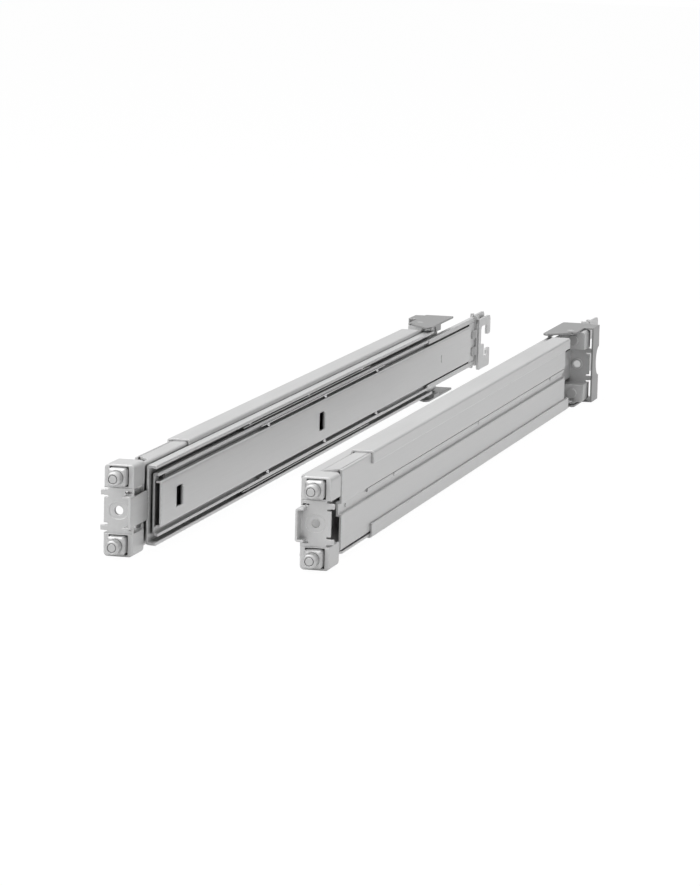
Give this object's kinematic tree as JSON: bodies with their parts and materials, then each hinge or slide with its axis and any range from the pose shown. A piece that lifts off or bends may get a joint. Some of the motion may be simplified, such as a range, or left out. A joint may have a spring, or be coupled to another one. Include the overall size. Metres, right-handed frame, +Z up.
{
  "type": "sliding server rail pair",
  "caption": "Pair of telescopic server rails with sprung square-hole post brackets, ball slides, a depth-adjusting rear arm with latch, and cable-arm hooks.",
  "frame": {"origin": "centre of the pair's bounding box on the floor, slides closed", "axes": "+X to the right seen from the front, +Y from the front posts to the rear posts, +Z up"},
  "size_m": [0.113, 0.746, 0.0444],
  "materials": {
    "zinc_steel": "zinc-plated sheet steel, satin",
    "pin_steel": "nickel-bright turned and pressed steel",
    "ball_steel": "polished",
    "pale_plastic": "satin nylon",
    "black_plastic": "matt"
  },
  "bodies": {
    "rails": {"left_front_bracket": "zinc_steel", "left_front_pins": "pin_steel", "left_bracket_rivets": "pin_steel", "left_support_channel": "zinc_steel", "left_side_plate": "zinc_steel", "left_side_plate_studs": "pin_steel", "left_slide_rivets": "pin_steel", "left_guide_strip": "zinc_steel", "left_outer_member": "zinc_steel", "left_cable_arm_bracket": "zinc_steel", "left_cable_bracket_rivets": "pin_steel", "left_rear_bumpers": "pale_plastic", "right_front_bracket": "zinc_steel", "right_front_pins": "pin_steel", "right_bracket_rivets": "pin_steel", "right_support_channel": "zinc_steel", "right_side_plate": "zinc_steel", "right_side_plate_studs": "pin_steel", "right_slide_rivets": "pin_steel", "right_guide_strip": "zinc_steel", "right_outer_member": "zinc_steel", "right_cable_arm_bracket": "zinc_steel", "right_cable_bracket_rivets": "pin_steel", "right_rear_bumpers": "pale_plastic"},
    "left_intermediate": {"left_intermediate_member": "zinc_steel", "left_front_stop": "black_plastic"},
    "left_inner": {"left_inner_member": "zinc_steel"},
    "left_outer_cage": {"left_outer_ball_cage": "zinc_steel", "left_outer_balls": "ball_steel"},
    "left_inner_cage": {"left_inner_ball_cages": "zinc_steel", "left_inner_balls": "ball_steel"},
    "left_carriage": {"left_rear_arm": "zinc_steel", "left_rear_bracket": "zinc_steel", "left_rear_pins": "pin_steel", "left_latch_pins": "pin_steel"},
    "left_latch": {"left_rear_latch": "zinc_steel"},
    "left_front_upper_plunger": {"left_front_upper_collar": "pin_steel"},
    "left_front_lower_plunger": {"left_front_lower_collar": "pin_steel"},
    "left_rear_upper_plunger": {"left_rear_upper_collar": "pin_steel"},
    "left_rear_lower_plunger": {"left_rear_lower_collar": "pin_steel"},
    "right_intermediate": {"right_intermediate_member": "zinc_steel", "right_front_stop": "black_plastic"},
    "right_inner": {"right_inner_member": "zinc_steel"},
    "right_outer_cage": {"right_outer_ball_cage": "zinc_steel", "right_outer_balls": "ball_steel"},
    "right_inner_cage": {"right_inner_ball_cages": "zinc_steel", "right_inner_balls": "ball_steel"},
    "right_carriage": {"right_rear_arm": "zinc_steel", "right_rear_bracket": "zinc_steel", "right_rear_pins": "pin_steel", "right_latch_pins": "pin_steel"},
    "right_latch": {"right_rear_latch": "zinc_steel"},
    "right_front_upper_plunger": {"right_front_upper_collar": "pin_steel"},
    "right_front_lower_plunger": {"right_front_lower_collar": "pin_steel"},
    "right_rear_upper_plunger": {"right_rear_upper_collar": "pin_steel"},
    "right_rear_lower_plunger": {"right_rear_lower_collar": "pin_steel"}
  },
  "joints": [
    {"name": "left_front_upper_plunger_slide", "type": "slide", "parent": "rails", "child": "left_front_upper_plunger", "axis": [0, 1, 0], "range_m": [0, 0.0045], "stiffness_N_per_m": 400, "springref_m": -0.003},
    {"name": "left_front_lower_plunger_slide", "type": "slide", "parent": "rails", "child": "left_front_lower_plunger", "axis": [0, 1, 0], "range_m": [0, 0.0045], "stiffness_N_per_m": 400, "springref_m": -0.003},
    {"name": "left_rear_upper_plunger_slide", "type": "slide", "parent": "left_carriage", "child": "left_rear_upper_plunger", "axis": [0, -1, 0], "range_m": [0, 0.0045], "stiffness_N_per_m": 400, "springref_m": -0.003},
    {"name": "left_rear_lower_plunger_slide", "type": "slide", "parent": "left_carriage", "child": "left_rear_lower_plunger", "axis": [0, -1, 0], "range_m": [0, 0.0045], "stiffness_N_per_m": 400, "springref_m": -0.003},
    {"name": "left_intermediate_slide", "type": "slide", "parent": "rails", "child": "left_intermediate", "axis": [0, -1, 0], "range_m": [0, 0.29]},
    {"name": "left_inner_slide", "type": "slide", "parent": "left_intermediate", "child": "left_inner", "axis": [0, -1, 0], "range_m": [0, 0.29]},
    {"name": "left_outer_cage_slide", "type": "slide", "parent": "rails", "child": "left_outer_cage", "axis": [0, -1, 0], "range_m": [0, 0.145]},
    {"name": "left_inner_cage_slide", "type": "slide", "parent": "left_intermediate", "child": "left_inner_cage", "axis": [0, -1, 0], "range_m": [0, 0.145]},
    {"name": "left_depth_slide", "type": "slide", "parent": "rails", "child": "left_carriage", "axis": [0, 1, 0], "range_m": [0, 0.294]},
    {"name": "left_latch_pivot", "type": "hinge", "parent": "left_carriage", "child": "left_latch", "pos_m": [-0.0457, 0.233, 0.0222], "axis": [0, 0, 1], "range_deg": [0, 7], "stiffness_Nm_per_rad": 0.4, "springref_deg": -6.88},
    {"name": "right_front_upper_plunger_slide", "type": "slide", "parent": "rails", "child": "right_front_upper_plunger", "axis": [0, 1, 0], "range_m": [0, 0.0045], "stiffness_N_per_m": 400, "springref_m": -0.003},
    {"name": "right_front_lower_plunger_slide", "type": "slide", "parent": "rails", "child": "right_front_lower_plunger", "axis": [0, 1, 0], "range_m": [0, 0.0045], "stiffness_N_per_m": 400, "springref_m": -0.003},
    {"name": "right_rear_upper_plunger_slide", "type": "slide", "parent": "right_carriage", "child": "right_rear_upper_plunger", "axis": [0, -1, 0], "range_m": [0, 0.0045], "stiffness_N_per_m": 400, "springref_m": -0.003},
    {"name": "right_rear_lower_plunger_slide", "type": "slide", "parent": "right_carriage", "child": "right_rear_lower_plunger", "axis": [0, -1, 0], "range_m": [0, 0.0045], "stiffness_N_per_m": 400, "springref_m": -0.003},
    {"name": "right_intermediate_slide", "type": "slide", "parent": "rails", "child": "right_intermediate", "axis": [0, -1, 0], "range_m": [0, 0.29]},
    {"name": "right_inner_slide", "type": "slide", "parent": "right_intermediate", "child": "right_inner", "axis": [0, -1, 0], "range_m": [0, 0.29]},
    {"name": "right_outer_cage_slide", "type": "slide", "parent": "rails", "child": "right_outer_cage", "axis": [0, -1, 0], "range_m": [0, 0.145]},
    {"name": "right_inner_cage_slide", "type": "slide", "parent": "right_intermediate", "child": "right_inner_cage", "axis": [0, -1, 0], "range_m": [0, 0.145]},
    {"name": "right_depth_slide", "type": "slide", "parent": "rails", "child": "right_carriage", "axis": [0, 1, 0], "range_m": [0, 0.294]},
    {"name": "right_latch_pivot", "type": "hinge", "parent": "right_carriage", "child": "right_latch", "pos_m": [0.0457, 0.233, 0.0222], "axis": [0, 0, -1], "range_deg": [0, 7], "stiffness_Nm_per_rad": 0.4, "springref_deg": -6.88}
  ],
  "couplings": [
    {"joint": "left_outer_cage_slide", "follows": "left_intermediate_slide", "ratio": 0.5},
    {"joint": "left_inner_cage_slide", "follows": "left_inner_slide", "ratio": 0.5},
    {"joint": "right_outer_cage_slide", "follows": "right_intermediate_slide", "ratio": 0.5},
    {"joint": "right_inner_cage_slide", "follows": "right_inner_slide", "ratio": 0.5}
  ]
}
